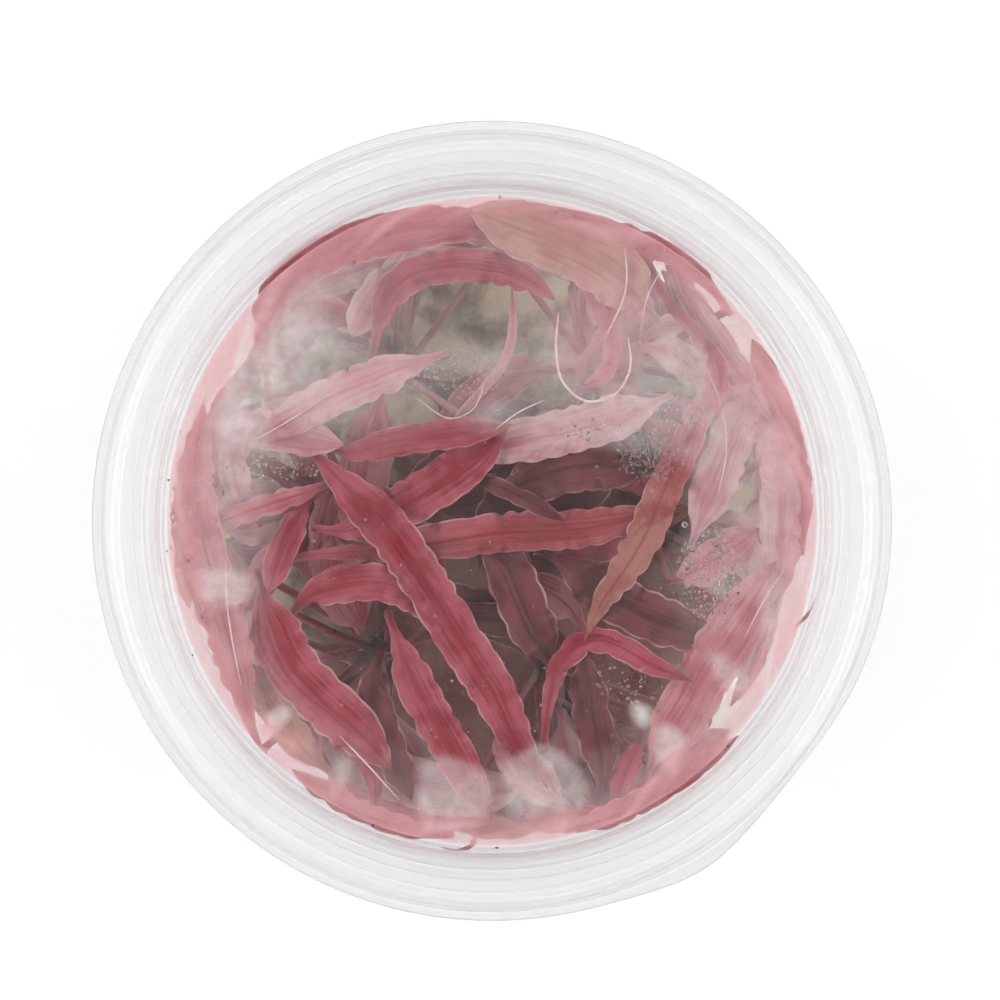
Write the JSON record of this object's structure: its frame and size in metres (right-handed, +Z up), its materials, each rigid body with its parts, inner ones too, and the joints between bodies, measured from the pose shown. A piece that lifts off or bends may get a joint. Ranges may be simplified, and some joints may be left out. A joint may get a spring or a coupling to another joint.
{
  "type": "tissue culture pink cryptocoryne balansae",
  "caption": "Clear round culture cup with a press-on lid, holding gel and a tangle of long wavy pink water trumpet leaves pressed flat under the lid.",
  "frame": {"origin": "centre of the cup's foot, on the surface it stands on", "axes": "+Z up along the cup's axis; seen from above as in the picture, +X to the right and +Y to the top"},
  "size_m": [0.1, 0.1, 0.059],
  "materials": {
    "clear_plastic": "clear gloss",
    "gel": "wet, cloudy",
    "crown": "matte",
    "leaf_rose": "satin, wet",
    "leaf_pink": "satin, wet",
    "leaf_pale": "satin, wet",
    "leaf_tan": "satin, wet",
    "leaf_wine": "satin, wet"
  },
  "bodies": {
    "root": {"cup": "clear_plastic", "lid": "clear_plastic", "gel": "gel", "crown_west": "crown", "crown_northwest": "crown", "crown_northeast": "crown", "crown_east": "crown", "crown_south": "crown", "crown_southwest": "crown", "leaf_tan_broad": "leaf_tan", "leaf_north_rim": "leaf_pink", "leaf_north_arc": "leaf_rose", "leaf_tan_pointed": "leaf_tan", "leaf_northeast_rim": "leaf_pale", "leaf_streaky_pale": "leaf_pale", "leaf_arch": "leaf_rose", "leaf_pale_drop": "leaf_pale", "leaf_left_rim": "leaf_pink", "leaf_mauve": "leaf_pale", "leaf_long_diagonal": "leaf_rose", "leaf_upper_red": "leaf_rose", "leaf_middle_red": "leaf_rose", "leaf_small_red": "leaf_wine", "leaf_salmon": "leaf_pink", "leaf_short_left": "leaf_rose", "leaf_long_level": "leaf_rose", "leaf_wavy_southwest": "leaf_rose", "leaf_southwest_arch": "leaf_rose", "leaf_south_red": "leaf_rose", "leaf_south_dark": "leaf_wine", "leaf_folded": "leaf_rose", "leaf_dusty_southeast": "leaf_pink", "leaf_south_wine": "leaf_wine", "leaf_south_rim": "leaf_pink", "leaf_southeast_rim": "leaf_pink", "leaf_east_band": "leaf_pale", "leaf_east_rim": "leaf_pink", "leaf_curled": "leaf_rose", "leaf_tan_slip": "leaf_tan", "leaf_pale_east": "leaf_pale", "leaf_pale_strip": "leaf_pale", "leaf_deep_south": "leaf_wine", "leaf_deep_east": "leaf_wine", "leaf_deep_middle": "leaf_wine", "leaf_east_upright": "leaf_pale", "leaf_northeast_deep": "leaf_pale", "leaf_east_low": "leaf_pink", "leaf_deep_southwest": "leaf_tan", "leaf_southwest_small": "leaf_rose", "leaf_deep_west": "leaf_pale", "leaf_south_pale": "leaf_pale", "leaf_southeast_small": "leaf_rose", "leaf_young_west": "leaf_pink", "leaf_young_northwest": "leaf_rose", "leaf_young_northeast": "leaf_pink", "leaf_young_east": "leaf_rose", "leaf_young_south": "leaf_pink", "leaf_young_southwest": "leaf_rose"}
  },
  "joints": []
}
